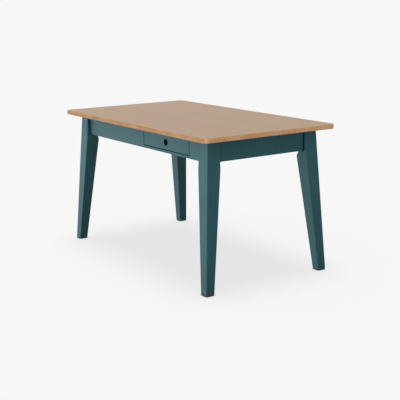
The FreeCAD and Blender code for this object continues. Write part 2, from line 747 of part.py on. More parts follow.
sheet = fill_sheet()
table_parts = make_table()
doc.recompute()
check(table_parts)
export(table_parts)
print(f"{len(table_parts)} sub-parts written")
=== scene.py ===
"""Dress a painted dining table that has an oak top and one drawer.

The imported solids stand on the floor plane, in metres, with the drawer facing -Y. This script
gives each of them its finish, adds the screws, threads and shaped nuts that the solids leave
out, and sets up the studio: a pale floor, soft light and the camera.
"""

import json
import logging
import math
from collections.abc import Iterable, Mapping, Sequence
from dataclasses import dataclass, field
from enum import Enum
from typing import Any

import bmesh
import bpy
from mathutils import Matrix, Vector

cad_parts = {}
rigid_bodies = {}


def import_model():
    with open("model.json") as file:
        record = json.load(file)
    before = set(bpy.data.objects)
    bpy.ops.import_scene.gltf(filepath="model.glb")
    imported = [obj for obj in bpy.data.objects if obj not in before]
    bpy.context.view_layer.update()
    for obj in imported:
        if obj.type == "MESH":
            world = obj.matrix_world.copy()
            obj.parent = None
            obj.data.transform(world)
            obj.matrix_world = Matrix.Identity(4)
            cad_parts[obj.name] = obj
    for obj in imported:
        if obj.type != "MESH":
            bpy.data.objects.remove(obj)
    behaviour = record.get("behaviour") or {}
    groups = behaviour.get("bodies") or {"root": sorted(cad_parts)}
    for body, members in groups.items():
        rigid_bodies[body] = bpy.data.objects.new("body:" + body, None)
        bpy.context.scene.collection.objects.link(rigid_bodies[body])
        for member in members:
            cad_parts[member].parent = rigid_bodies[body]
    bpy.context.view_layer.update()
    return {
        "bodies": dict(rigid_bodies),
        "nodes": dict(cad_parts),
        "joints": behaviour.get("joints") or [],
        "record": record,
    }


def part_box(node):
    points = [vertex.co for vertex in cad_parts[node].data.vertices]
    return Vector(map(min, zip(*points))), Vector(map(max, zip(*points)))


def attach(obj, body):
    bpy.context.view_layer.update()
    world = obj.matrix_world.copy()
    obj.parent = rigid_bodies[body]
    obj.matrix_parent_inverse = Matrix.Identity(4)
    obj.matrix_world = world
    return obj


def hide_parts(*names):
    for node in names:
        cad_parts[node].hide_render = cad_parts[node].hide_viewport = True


LOGGER = logging.getLogger("dining_table")
MM = 0.001
TURN = 2 * math.pi
SLANT = math.sqrt(0.5)
RIGHT = Vector((1, 0, 0))
BACK = Vector((0, 1, 0))
UP = Vector((0, 0, 1))
DOWN = -UP

Rgb = tuple[int, int, int]
Rgba = tuple[float, float, float, float]
Nodes = Mapping[str, bpy.types.Object]


class Body(Enum):
    """The two bodies of the table, by their packed names."""

    TABLE = "table"
    DRAWER = "drawer"


class Slot(Enum):
    """The record's material slots, passed along with new pieces but not read."""

    ZINC = "zinc_steel"


class Grain(Enum):
    """Which way a board's fibres run: its directions along, across and through."""

    ALONG_X = ((1, 0, 0), (0, 1, 0), (0, 0, 1))
    ALONG_Y = ((0, 1, 0), (1, 0, 0), (0, 0, 1))
    ALONG_Z = ((0, 0, 1), (1, 0, 0), (0, 1, 0))
    RISING = ((SLANT, SLANT, 0), (0, 0, 1), (SLANT, -SLANT, 0))
    FALLING = ((SLANT, -SLANT, 0), (0, 0, 1), (SLANT, SLANT, 0))


class BareSide(Enum):
    """The side of a painted board that is left bare, as the direction that it faces."""

    NONE = (0, 0, 0)
    LEFT = (-1, 0, 0)
    RIGHT = (1, 0, 0)
    FRONT = (0, -1, 0)
    BACK = (0, 1, 0)


class HeadForm(Enum):
    """How a wood screw's head sits on its seat."""

    PAN = "pan"
    COUNTERSUNK = "countersunk"


def colour(rgb: Rgb) -> Rgba:
    """Turn a screen colour into the linear colour that shaders take.

    Args:
        rgb: Red, green and blue, each from 0 to 255.

    Returns:
        The linear colour, with full alpha.
    """
    linear = []
    for part in rgb:
        share = part / 255
        linear.append(share / 12.92 if share <= 0.04045 else ((share + 0.055) / 1.055) ** 2.4)
    return (*linear, 1.0)


def grey(level: float) -> Rgba:
    """Return a linear grey with full alpha."""
    return (level, level, level, 1.0)


class Signal:
    """A number that varies over a surface: an output socket that can be calculated with."""

    def __init__(self, graph: "Graph", socket: bpy.types.NodeSocket) -> None:
        """Keep the graph and the socket."""
        self.graph = graph
        self.socket = socket

    def calculate(self, operation: str, *operands: "float | Signal") -> "Signal":
        """Add one Math node and return its result."""
        node = self.graph.add("ShaderNodeMath", {"operation": operation}, dict(enumerate(operands)))
        return Signal(self.graph, node.outputs["Value"])

    def __add__(self, other: "float | Signal") -> "Signal":
        """Return the sum."""
        return self.calculate("ADD", self, other)

    def __radd__(self, other: float) -> "Signal":
        """Return the sum, from the right."""
        return self.calculate("ADD", other, self)

    def __sub__(self, other: "float | Signal") -> "Signal":
        """Return the difference."""
        return self.calculate("SUBTRACT", self, other)

    def __rsub__(self, other: float) -> "Signal":
        """Return the difference, from the right."""
        return self.calculate("SUBTRACT", other, self)

    def __mul__(self, other: "float | Signal") -> "Signal":
        """Return the product."""
        return self.calculate("MULTIPLY", self, other)

    def __rmul__(self, other: float) -> "Signal":
        """Return the product, from the right."""
        return self.calculate("MULTIPLY", other, self)

    def __truediv__(self, other: "float | Signal") -> "Signal":
        """Return the quotient."""
        return self.calculate("DIVIDE", self, other)

    def __rtruediv__(self, other: float) -> "Signal":
        """Return the quotient, from the right."""
        return self.calculate("DIVIDE", other, self)

    def __abs__(self) -> "Signal":
        """Return the size without its sign."""
        return self.calculate("ABSOLUTE", self)

    def __floor__(self) -> "Signal":
        """Return the whole number below."""
        return self.calculate("FLOOR", self)

    def sine(self) -> "Signal":
        """Return the sine of an angle in radians."""
        return self.calculate("SINE", self)

    def root(self) -> "Signal":
        """Return the square root."""
        return self.calculate("SQRT", self)

    def larger(self, other: "float | Signal") -> "Signal":
        """Return the larger of two values."""
        return self.calculate("MAXIMUM", self, other)

    def rise(self, start: float, end: float) -> "Signal":
        """Climb smoothly from 0 to 1.

        Args:
            start: The value at which the climb starts.
            end: The value at which it ends, which may be the lower one.

        Returns:
            The share of the climb.
        """
        node = self.graph.add(
            "ShaderNodeMapRange",
            {"interpolation_type": "SMOOTHSTEP"},
            {"Value": self, "From Min": start, "From Max": end},
        )
        return Signal(self.graph, node.outputs["Result"])


class Graph:
    """A node tree that is built by calls and expressions."""

    MIX_FACTOR = 0
    MIX_FIRST = 6
    MIX_SECOND = 7
    MIX_RESULT = 2

    def __init__(self, tree: bpy.types.NodeTree) -> None:
        """Start from an empty tree."""
        self.tree = tree
        self.tree.nodes.clear()

    def feed(self, socket: bpy.types.NodeSocket, source: Any) -> None:
        """Link a signal or socket to an input, or set the input's own value.

        Args:
            socket: The input to feed.
            source: A signal, an output socket, or a plain value.
        """
        if isinstance(source, Signal):
            source = source.socket
        if isinstance(source, bpy.types.NodeSocket):
            self.tree.links.new(source, socket)
        else:
            socket.default_value = source

    def add(
        self,
        kind: str,
        settings: Mapping[str, Any] | None = None,
        inputs: Mapping[str | int, Any] | None = None,
    ) -> bpy.types.Node:
        """Add one node.

        Args:
            kind: The node's type.
            settings: Its properties, which are set first.
            inputs: Values or links for its input sockets, by name or place.

        Returns:
            The new node.
        """
        node = self.tree.nodes.new(kind)
        for name, setting in (settings or {}).items():
            setattr(node, name, setting)
        for key, source in (inputs or {}).items():
            self.feed(node.inputs[key], source)
        return node

    def mix(self, factor: Any, first: Any, second: Any) -> bpy.types.NodeSocket:
        """Blend two colours.

        Args:
            factor: The second colour's share.
            first: A colour or a colour socket.
            second: A colour or a colour socket.

        Returns:
            The blended colour's socket.
        """
        inputs = {self.MIX_FACTOR: factor, self.MIX_FIRST: first, self.MIX_SECOND: second}
        return self.add("ShaderNodeMix", {"data_type": "RGBA"}, inputs).outputs[self.MIX_RESULT]

    def dot(self, vector: bpy.types.NodeSocket, direction: Any) -> Signal:
        """Measure a vector along a direction.

        Args:
            vector: The vector's socket.
            direction: Another vector, or its socket.

        Returns:
            Their dot product: how far the vector reaches that way, where the other's length is 1.
        """
        settings = {"operation": "DOT_PRODUCT"}
        node = self.add("ShaderNodeVectorMath", settings, {0: vector, 1: direction})
        return Signal(self, node.outputs["Value"])

    def noise(self, place: Iterable[Any], detail: float = 2.0, distortion: float = 0.0) -> Signal:
        """Add soft noise.

        Args:
            place: Three coordinates, counted in the noise's own grains.
            detail: How many finer layers it has.
            distortion: How far its own layers bend it.

        Returns:
            Noise from 0 to 1.
        """
        vector = self.add("ShaderNodeCombineXYZ", None, dict(enumerate(place))).outputs["Vector"]
        inputs = {"Vector": vector, "Scale": 1.0, "Detail": detail, "Distortion": distortion}
        return Signal(self, self.add("ShaderNodeTexNoise", None, inputs).outputs["Fac"])

    def chance(self, number: Signal) -> Signal:
        """Return one random value from 0 to 1 for each whole number."""
        node = self.add("ShaderNodeTexWhiteNoise", {"noise_dimensions": "1D"}, {"W": number})
        return Signal(self, node.outputs["Value"])


class Finish(Graph):
    """The graph of one material, which ends in one principled shader."""

    EDGE_SAMPLES = 6
    CREVICE_SAMPLES = 12

    def __init__(self, name: str) -> None:
        """Make the material, its shader and the coordinates that textures are laid by."""
        self.material = bpy.data.materials.new(name)
        self.material.use_nodes = True
        super().__init__(self.material.node_tree)
        self.shader = self.add("ShaderNodeBsdfPrincipled")
        self.add("ShaderNodeOutputMaterial", None, {"Surface": self.shader.outputs["BSDF"]})
        self.coordinates = self.add("ShaderNodeTexCoord")

    def reach(self, direction: Sequence[float]) -> Signal:
        """Return how far a point lies along a direction, in metres of the table's frame."""
        return self.dot(self.coordinates.outputs["Object"], direction)

    def facing(self, direction: Sequence[float]) -> Signal:
        """Return how squarely the surface faces a direction, from -1 to 1."""
        return self.dot(self.coordinates.outputs["Normal"], direction)

    def edges(self, width: float) -> Signal:
        """Mark the edges of a piece.

        Args:
            width: How far from an edge the mark reaches, in metres.

        Returns:
            0 on flat faces, rising towards 1 at sharp edges.
        """
        bevel = self.add("ShaderNodeBevel", {"samples": self.EDGE_SAMPLES}, {"Radius": width})
        normal = self.add("ShaderNodeNewGeometry").outputs["Normal"]
        return 1 - self.dot(bevel.outputs["Normal"], normal)

    def shade_in_crevices(self, width: float) -> Signal:
        """Mark joints, inner corners and narrow gaps, where shade gathers, for painted shade.

        Args:
            width: How far out of a joint the mark reaches, in metres.

        Returns:
            0 on open faces, rising towards 1 deep in a joint.
        """
        # Painted shade: ambient occlusion marks where joints and gaps are darkened in the colour.
        settings = {"samples": self.CREVICE_SAMPLES}
        node = self.add("ShaderNodeAmbientOcclusion", settings, {"Distance": width})
        return 1 - Signal(self, node.outputs["AO"])

    def raise_by(self, height: Signal, distance: float) -> None:
        """Bump the surface.

        Args:
            height: The relief, from 0 to 1.
            distance: Its full height in metres.
        """
        bump = self.add("ShaderNodeBump", None, {"Height": height, "Distance": distance})
        self.feed(self.shader.inputs["Normal"], bump.outputs["Normal"])

    def finish(self, **sockets: Any) -> bpy.types.Material:
        """Set the shader's sockets and hand over the material.

        Args:
            **sockets: Values or links, by socket name with underscores for spaces.

        Returns:
            The finished material.
        """
        for name, source in sockets.items():
            self.feed(self.shader.inputs[name.replace("_", " ")], source)
        return self.material


@dataclass(frozen=True)
class WoodFigure:
    """The figure of one kind of wood, drawn in solid coordinates so that end grain shows."""

    ring_width: float
    wander: float
    streaks_across: float
    streaks_along: float
    pores_across: float
    pores_along: float

    WANDER_GRAIN = (1.1, 5.0, 5.0)
    RING_TILT = 0.5
    RING_SHARE = 0.30
    STREAK_SHARE = 0.75
    STREAK_BEND = 0.4
    PORE_RANGE = (0.60, 0.74)

    def draw(
        self, finish: Finish, grain: Grain, shift: float | Signal = 0.0
    ) -> tuple[Signal, Signal]:
        """Add the figure to a finish.

        Args:
            finish: The finish that it is drawn in.
            grain: Which way the fibres run.
            shift: Moves the figure along the fibres, in metres, so that boards differ.

        Returns:
            The tone, about 0.5 on average, and the open pores, from 0 to 1.
        """
        along, across, through = (finish.reach(direction) for direction in grain.value)
        along = along + shift
        place = (along, across, through)
        slow = [axis * scale for axis, scale in zip(place, self.WANDER_GRAIN)]
        drift = finish.noise(slow, detail=3) - 0.5
        ring_place = across + through * self.RING_TILT + drift * self.wander
        rings = (ring_place * (TURN / self.ring_width)).sine()
        streak_grain = (self.streaks_along, self.streaks_across, self.streaks_across)
        fine = [axis * scale for axis, scale in zip(place, streak_grain)]
        streaks = finish.noise(fine, detail=4, distortion=self.STREAK_BEND) - 0.5
        pore_grain = (self.pores_along, self.pores_across, self.pores_across)
        small = [axis * scale for axis, scale in zip(place, pore_grain)]
        pores = finish.noise(small, detail=1).rise(*self.PORE_RANGE)
        tone = rings * (self.RING_SHARE / 2) + streaks * self.STREAK_SHARE + 0.5
        return tone, pores


OAK_FIGURE = WoodFigure(
    ring_width=0.026,
    wander=0.10,
    streaks_across=240,
    streaks_along=5,
    pores_across=1300,
    pores_along=45,
)
BEECH_FIGURE = WoodFigure(
    ring_width=0.012,
    wander=0.05,
    streaks_across=420,
    streaks_along=8,
    pores_across=2200,
    pores_along=180,
)
PLY_FIGURE = WoodFigure(
    ring_width=0.034,
    wander=0.22,
    streaks_across=300,
    streaks_along=4,
    pores_across=1800,
    pores_along=90,
)


@dataclass(frozen=True)
class OiledOak:
    """Oiled oak staves along the top; its long edges take the oil differently, its end edges are
    painted lighter as painted light.
    """

    name: str = "oiled_oak"
    face: tuple[Rgb, Rgb] = ((197, 158, 121), (215, 179, 143))
    long_edge: tuple[Rgb, Rgb] = ((180, 125, 77), (214, 165, 113))
    painted_light_end_edge: tuple[Rgb, Rgb] = ((244, 178, 119), (255, 207, 151))
    underside: tuple[Rgb, Rgb] = ((176, 140, 103), (193, 160, 124))
    stave_width: float = 0.095
    stave_shift: float = 3.0
    stave_contrast: float = 0.28
    patch_length: float = 0.11
    patch_contrast: float = 2.2
    pore_share: float = 0.22
    side_turn: tuple[float, float] = (0.45, 0.80)
    edge_turn: tuple[float, float] = (0.85, 0.35)
    edge_width: float = 0.004
    rubbed_and_highlit_share: float = 0.25
    roughness: float = 0.40
    pore_depth: float = 0.00012

    def material(self) -> bpy.types.Material:
        """Build the finish.

        Returns:
            The material of the top.
        """
        finish = Finish(self.name)
        chance = finish.chance(math.floor(finish.reach(BACK) / self.stave_width + 0.5))
        tone, pores = OAK_FIGURE.draw(finish, Grain.ALONG_X, chance * self.stave_shift)
        tone = tone + (chance - 0.5) * self.stave_contrast
        patch_place = [finish.reach(axis) / self.patch_length for axis in Grain.ALONG_X.value]
        patches = finish.noise(patch_place, detail=3) - 0.5
        edge_tone = tone + patches * self.patch_contrast
        face = finish.mix(tone, *map(colour, self.face))
        long_edge = finish.mix(edge_tone, *map(colour, self.long_edge))
        # Painted light: the end edges take a paler colour than the long edges, as if more strongly
        # lit.
        painted_light_end_edge = finish.mix(edge_tone, *map(colour, self.painted_light_end_edge))
        underside = finish.mix(tone, *map(colour, self.underside))
        on_long = abs(finish.facing(BACK)).rise(*self.side_turn)
        on_end = abs(finish.facing(RIGHT)).rise(*self.side_turn)
        on_edge = finish.facing(UP).rise(*self.edge_turn)
        shown = finish.mix(on_long, face, long_edge)
        shown = finish.mix(on_end, shown, painted_light_end_edge)
        shown = finish.mix(finish.facing(DOWN).rise(*self.side_turn), shown, underside)
        shown = finish.mix(pores * self.pore_share, shown, colour(self.long_edge[0]))
        # Arrises lighter towards the pale end colour: partly wear, partly a painted highlight.
        rubbed_and_highlit = finish.edges(self.edge_width).rise(0.02, 0.30) * self.rubbed_and_highlit_share
        shown = finish.mix(rubbed_and_highlit, shown, colour(self.painted_light_end_edge[1]))
        roughness = self.roughness + on_edge * 0.16 + pores * 0.14
        roughness = roughness - rubbed_and_highlit * 0.10 + (tone - 0.5) * 0.08
        finish.raise_by(1 - pores * 0.8 - tone * 0.2, self.pore_depth)
        return finish.finish(Base_Color=shown, Roughness=roughness)


@dataclass(frozen=True)
class BareWood:
    """Planed, sealed wood of the pieces that aren't painted."""

    name: str
    dark: Rgb
    pale: Rgb
    figure: WoodFigure
    end_grain: Rgb
    roughness: float = 0.55
    board_shift: float = 0.37
    pore_share: float = 0.25
    end_share: float = 0.6
    worn_share: float = 0.3
    edge_width: float = 0.003
    relief: float = 0.00008

    def material(self, grain: Grain, board: int) -> bpy.types.Material:
        """Build the finish for one board.

        Args:
            grain: Which way its fibres run.
            board: The board's number, which moves the figure along.

        Returns:
            The board's material.
        """
        finish = Finish(f"{self.name}_{board}")
        tone, pores = self.figure.draw(finish, grain, board * self.board_shift)
        shown = finish.mix(tone, colour(self.dark), colour(self.pale))
        on_end = abs(finish.facing(grain.value[0])).rise(0.5, 0.8)
        shown = finish.mix(on_end * self.end_share, shown, colour(self.end_grain))
        shown = finish.mix(pores * self.pore_share, shown, colour(self.end_grain))
        worn = finish.edges(self.edge_width).rise(0.03, 0.4) * self.worn_share
        shown = finish.mix(worn, shown, colour(self.pale))
        roughness = self.roughness + pores * 0.15 + on_end * 0.12 - worn * 0.15
        finish.raise_by(1 - pores * 0.7 - tone * 0.3, self.relief)
        return finish.finish(Base_Color=shown, Roughness=roughness)


FRAME_BEECH = BareWood(
    "frame_beech", (180, 143, 104), (204, 172, 133), BEECH_FIGURE, end_grain=(158, 120, 82)
)
DRAWER_BEECH = BareWood(
    "drawer_beech", (193, 160, 120), (215, 187, 148), BEECH_FIGURE, end_grain=(171, 134, 95)
)


@dataclass(frozen=True)
class Plywood:
    """A thin drawer bottom: a long-grained face over plies that show along its edges."""

    name: str = "birch_plywood"
    dark: Rgb = (198, 168, 128)
    pale: Rgb = (222, 197, 158)
    glue_line: Rgb = (128, 92, 60)
    ply: float = 0.002
    ply_base: float = 0.0
    glue_share: float = 0.7
    roughness: float = 0.50
    relief: float = 0.00005

    def material(self) -> bpy.types.Material:
        """Build the finish.

        Returns:
            The material of the drawer bottom.
        """
        finish = Finish(self.name)
        tone, pores = PLY_FIGURE.draw(finish, Grain.ALONG_X)
        face = finish.mix(tone, colour(self.dark), colour(self.pale))
        layer = ((finish.reach(UP) - self.ply_base) * (math.pi / self.ply)).sine()
        line = abs(layer).rise(0.35, 0.05)
        on_edge = abs(finish.facing(UP)).rise(0.8, 0.4)
        shown = finish.mix(line * on_edge * self.glue_share, face, colour(self.glue_line))
        shown = finish.mix(pores * 0.15, shown, colour(self.dark))
        roughness = self.roughness + on_edge * 0.2 + pores * 0.1
        finish.raise_by(1 - pores * 0.6 - tone * 0.4, self.relief)
        return finish.finish(Base_Color=shown, Roughness=roughness)


@dataclass(frozen=True)
class DrawerSeam:
    """Painted shade in the gap round the drawer front, over the rounded edges on both of its sides.
    """

    low: Vector
    high: Vector
    gap: float = 2.0 * MM
    solid: float = 1.4 * MM
    fade: float = 2.3 * MM
    depth: float = 4.0 * MM

    def painted_shade(self, finish: Finish) -> Signal:
        """Measure the painted shade.

        Args:
            finish: The finish that the dust lies on.

        Returns:
            1 at the mouth of the gap, falling to 0 on the open face and deeper in.
        """
        middle = (self.low + self.high) / 2
        half = (self.high - self.low) / 2
        off_side = abs(finish.reach(RIGHT) - middle.x) - (half.x + self.gap / 2)
        off_end = abs(finish.reach(UP) - middle.z) - (half.z + self.gap / 2)
        behind = finish.reach(BACK) - self.low.y
        in_gap = abs(off_side.larger(off_end)).rise(self.fade, self.solid)
        return in_gap * behind.rise(self.depth, self.solid)


@dataclass(frozen=True)
class HoleSeam:
    """Painted shade on the wall and the rounded rim of the drawer's finger hole."""

    middle: Vector
    radius: float
    solid: float = 1.0 * MM
    fade: float = 2.2 * MM
    share: float = 0.5

    def painted_shade(self, finish: Finish) -> Signal:
        """Measure the painted shade.

        Args:
            finish: The finish that the marks lie on.

        Returns:
            Its share in the hole, falling to 0 on the open face.
        """
        aside = finish.reach(RIGHT) - self.middle.x
        above = finish.reach(UP) - self.middle.z
        away = (aside * aside + above * above).root() - self.radius
        return away.rise(self.fade, self.solid) * self.share


Seams = Sequence[DrawerSeam | HoleSeam]


@dataclass(frozen=True)
class SatinPaint:
    """Satin paint over fine-grained wood, rubbed and with a painted highlight along its edges,
    painted shade in its joints, gaps and hole.
    """

    name: str = "teal_satin_paint"
    deep: Rgb = (49, 106, 114)
    body: Rgb = (55, 112, 120)
    rubbed_and_highlit: Rgb = (100, 142, 148)
    painted_shade_tone: Rgb = (20, 40, 43)
    bare: BareWood = DRAWER_BEECH
    rubbed_and_highlit_share: float = 0.30
    edge_width: float = 0.0035
    crevice_width: float = 0.006
    crevice_range: tuple[float, float] = (0.04, 0.30)
    gloss: float = 0.42
    roughness: float = 0.44
    cloud_grain: float = 7.0
    telegraph_share: float = 0.10
    film_grain: float = 700.0
    relief: float = 0.00006
    lap: float = 0.006

    def material(
        self, piece: str, grain: Grain, bare_side: BareSide, floor: float, seams: Seams = ()
    ) -> bpy.types.Material:
        """Build the finish for one piece.

        Args:
            piece: The piece's name.
            grain: Which way the fibres under the paint run.
            bare_side: The side that is left unpainted.
            floor: The height of the piece's lower edge, where the paint laps round to that side.
            seams: The gaps and holes in which shade is painted.

        Returns:
            The piece's material.
        """
        finish = Finish(f"{self.name}_{piece}")
        tone, pores = BEECH_FIGURE.draw(finish, grain)
        place = [finish.reach(axis) for axis in grain.value]
        cloud = finish.noise([reach * self.cloud_grain for reach in place], detail=3)
        film = finish.noise([reach * self.film_grain for reach in place], detail=1)
        shown = finish.mix(cloud.rise(0.3, 0.7), colour(self.deep), colour(self.body))
        telegraphed = (tone - 0.5).rise(-0.1, 0.4) * self.telegraph_share
        shown = finish.mix(telegraphed, shown, colour(self.rubbed_and_highlit))
        # Edges lighter towards the pale colour: partly wear, partly a painted highlight.
        on_edge = finish.edges(self.edge_width).rise(0.02, 0.35)
        worn = on_edge * cloud.rise(0.30, 0.60) * self.rubbed_and_highlit_share
        shown = finish.mix(worn, shown, colour(self.rubbed_and_highlit))
        # Painted shade: joints, gaps and the finger hole darken towards a dark teal, and Metallic
        # takes the sheen off there.
        painted_shade = finish.shade_in_crevices(self.crevice_width).rise(*self.crevice_range)
        for seam in seams:
            painted_shade = painted_shade.larger(seam.painted_shade(finish))
        shown = finish.mix(painted_shade, shown, colour(self.painted_shade_tone))
        roughness = self.roughness + (cloud - 0.5) * 0.10 + (film - 0.5) * 0.06
        roughness = roughness + worn * 0.1 + painted_shade * 0.2
        height = film * 0.5 + (1 - pores) * 0.25 + tone * 0.25
        if bare_side is not BareSide.NONE:
            wood = finish.mix(tone, colour(self.bare.dark), colour(self.bare.pale))
            lap_line = finish.reach(UP) - floor + (cloud - 0.5) * self.lap
            above_lap = lap_line.rise(self.lap * 0.8, self.lap)
            bare = finish.facing(bare_side.value).rise(0.4, 0.7) * above_lap
            shown = finish.mix(bare, shown, wood)
            roughness = roughness + bare * 0.22
        finish.raise_by(height, self.relief)
        # The gloss is one number for all of the paint, so Metallic takes it off the painted shade.
        return finish.finish(
            Base_Color=shown, Roughness=roughness, Metallic=painted_shade, Specular_IOR_Level=self.gloss
        )


@dataclass(frozen=True)
class ZincPlate:
    """Bright zinc plating with a faint spangle and dull marks where it has been handled."""

    name: str = "zinc_plated_steel"
    bright: Rgb = (212, 214, 216)
    dull: Rgb = (172, 171, 163)
    spangle: float = 420.0
    stain_grain: float = 45.0
    relief: float = 0.00003

    def material(self) -> bpy.types.Material:
        """Build the finish.

        Returns:
            The material of the fixings.
        """
        finish = Finish(self.name)
        place = [finish.reach(axis) for axis in Grain.ALONG_X.value]
        flakes = finish.noise([reach * self.spangle for reach in place], detail=2, distortion=1.2)
        stain = finish.noise([reach * self.stain_grain for reach in place], detail=3)
        stain = stain.rise(0.42, 0.72)
        dulled = flakes.rise(0.3, 0.7) * 0.5 + stain * 0.4
        shown = finish.mix(dulled, colour(self.bright), colour(self.dull))
        roughness = 0.30 + flakes * 0.14 + stain * 0.16
        finish.raise_by(flakes, self.relief)
        return finish.finish(Base_Color=shown, Roughness=roughness, Metallic=1.0)


@dataclass(frozen=True)
class MouldedNylon:
    """Dark moulded nylon, scuffed where it meets the floor."""

    name: str = "moulded_nylon"
    body: Rgb = (52, 52, 55)
    scuffed: Rgb = (112, 111, 110)
    sparks: float = 1500.0
    drag_grain: tuple[float, float, float] = (60.0, 500.0, 60.0)
    scuff_share: float = 0.7
    relief: float = 0.00004

    def material(self) -> bpy.types.Material:
        """Build the finish.

        Returns:
            The material of the glides.
        """
        finish = Finish(self.name)
        place = [finish.reach(axis) for axis in Grain.ALONG_X.value]
        spark = finish.noise([reach * self.sparks for reach in place], detail=2)
        drag = finish.noise([reach * scale for reach, scale in zip(place, self.drag_grain)])
        scuff = finish.facing(DOWN).rise(0.6, 0.95) * drag.rise(0.45, 0.75)
        shown = finish.mix(scuff * self.scuff_share, colour(self.body), colour(self.scuffed))
        roughness = 0.46 + spark * 0.12 + scuff * 0.2
        finish.raise_by(spark, self.relief)
        return finish.finish(Base_Color=shown, Roughness=roughness)


def dress(piece: bpy.types.Object, material: bpy.types.Material) -> None:
    """Give a piece one material and report it.

    Args:
        piece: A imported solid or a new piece.
        material: Its finish.
    """
    piece.data.materials.clear()
    piece.data.materials.append(material)
    LOGGER.info("%s wears %s", piece.name, material.name)


def solid_boxes(piece: bpy.types.Object) -> list[tuple[Vector, Vector]]:
    """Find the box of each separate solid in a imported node.

    Args:
        piece: The node's object.

    Returns:
        The lowest and highest corner of each solid.
    """
    mesh = bmesh.new()
    mesh.from_mesh(piece.data)
    bmesh.ops.remove_doubles(mesh, verts=mesh.verts, dist=0.01 * MM)
    unseen = set(mesh.verts)
    boxes = []
    while unseen:
        edge_of_search = [unseen.pop()]
        members = []
        while edge_of_search:
            vertex = edge_of_search.pop()
            members.append(vertex.co.copy())
            for edge in vertex.link_edges:
                other = edge.other_vert(vertex)
                if other in unseen:
                    unseen.remove(other)
                    edge_of_search.append(other)
        low = Vector(tuple(map(min, zip(*members))))
        high = Vector(tuple(map(max, zip(*members))))
        boxes.append((low, high))
    mesh.free()
    return sorted(boxes, key=lambda box: tuple(box[0]))


class Turning:
    """A mesh made of turned pieces, each a stack of rings closed at both ends."""

    SMOOTH_ANGLE = math.radians(35)

    def __init__(self) -> None:
        """Start with an empty mesh."""
        self.mesh = bmesh.new()

    def add(self, rings: Sequence[Sequence[Vector]], frame: Matrix) -> None:
        """Add one closed piece.

        Args:
            rings: Rings of equally many points, from one end to the other, anticlockwise about
                the way that they advance.
            frame: Where the piece goes.
        """
        made = [[self.mesh.verts.new(frame @ point) for point in ring] for ring in rings]
        count = len(rings[0])
        for lower, upper in zip(made, made[1:]):
            for place in range(count):
                after = (place + 1) % count
                self.mesh.faces.new((lower[place], lower[after], upper[after], upper[place]))
        self.mesh.faces.new(reversed(made[0]))
        self.mesh.faces.new(made[-1])

    def piece(
        self, name: str, body: Body, slot: Slot, material: bpy.types.Material
    ) -> bpy.types.Object:
        """Turn the mesh into a piece of the table.

        Args:
            name: The piece's name.
            body: What it moves with.
            slot: The record's slot for the piece; not used.
            material: Its finish.

        Returns:
            The new piece.
        """
        data = bpy.data.meshes.new(name)
        self.mesh.to_mesh(data)
        self.mesh.free()
        data.shade_smooth()
        data.set_sharp_from_angle(angle=self.SMOOTH_ANGLE)
        made = bpy.data.objects.new(name, data)
        bpy.context.scene.collection.objects.link(made)
        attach(made, body.value)
        dress(made, material)
        return made


def frame_at(place: Vector, direction: Vector, roll: float = 0.0) -> Matrix:
    """Set a frame at a place with its own Z along a direction.

    Args:
        place: Where its origin goes.
        direction: Where its Z points.
        roll: A turn about Z, in radians.

    Returns:
        The frame.
    """
    turned = direction.to_track_quat("Z", "Y").to_matrix().to_4x4()
    return Matrix.Translation(place) @ turned @ Matrix.Rotation(roll, 4, "Z")


def circle(radius: float, height: float, count: int) -> list[Vector]:
    """Make one level ring.

    Args:
        radius: The ring's radius.
        height: Its height along the axis.
        count: How many points it has.

    Returns:
        The ring's points.
    """
    ring = []
    for place in range(count):
        angle = TURN * place / count
        ring.append(Vector((radius * math.cos(angle), radius * math.sin(angle), height)))
    return ring


@dataclass(frozen=True)
class WoodScrew:
    """A wood screw with a cross recess, of which the head and a short stub are made."""

    form: HeadForm
    head_diameter: float = 8.0 * MM
    head_height: float = 2.4 * MM
    proud: float = 0.3 * MM
    shank_diameter: float = 4.0 * MM
    stub: float = 3.0 * MM
    tip_share: float = 0.6
    dome_share: float = 0.55
    recess_reach: float = 2.3 * MM
    recess_width: float = 1.1 * MM
    recess_depth: float = 1.5 * MM
    recess_wall: float = 0.2 * MM
    recess_slope: float = 1.6
    points: int = 40
    head_rings: int = 12

    def crown(self, radius: float) -> float:
        """Return the height of the head above its seat at a radius."""
        share = radius / (self.head_diameter / 2)
        if self.form is HeadForm.PAN:
            return self.head_height * (1 - self.dome_share * share**4)
        return self.proud * (1 - share**4)

    def recess(self, point: Vector) -> float:
        """Measure the cross recess below the crown.

        Args:
            point: A point of the head.

        Returns:
            The depth there.
        """
        off_arm = min(abs(point.x), abs(point.y))
        wall = max(0.0, min(1.0, (self.recess_width / 2 - off_arm) / self.recess_wall + 0.5))
        inward = max(0.0, 1 - point.xy.length / self.recess_reach)
        return self.recess_depth * wall * min(1.0, self.recess_slope * inward)

    def rings(self) -> list[list[Vector]]:
        """List the rings from the stub's tip to the middle of the head.

        Returns:
            The rings, in metres, with the seat at height 0.
        """
        head = self.head_diameter / 2
        shank = self.shank_diameter / 2
        outline = [
            (shank * self.tip_share, -self.stub),
            (shank, -self.stub * 0.8),
            (shank, 0.0 if self.form is HeadForm.PAN else shank - head),
            (head, 0.0),
        ]
        stack = [circle(radius, height, self.points) for radius, height in outline]
        for step in range(self.head_rings):
            radius = head * (1 - (step + 0.5 if step else 0.04) / self.head_rings)
            ring = circle(radius, self.crown(radius), self.points)
            for point in ring:
                point.z -= self.recess(point)
            stack.append(ring)
        return stack


PAN_SCREW = WoodScrew(HeadForm.PAN)
FLUSH_SCREW = WoodScrew(HeadForm.COUNTERSUNK)


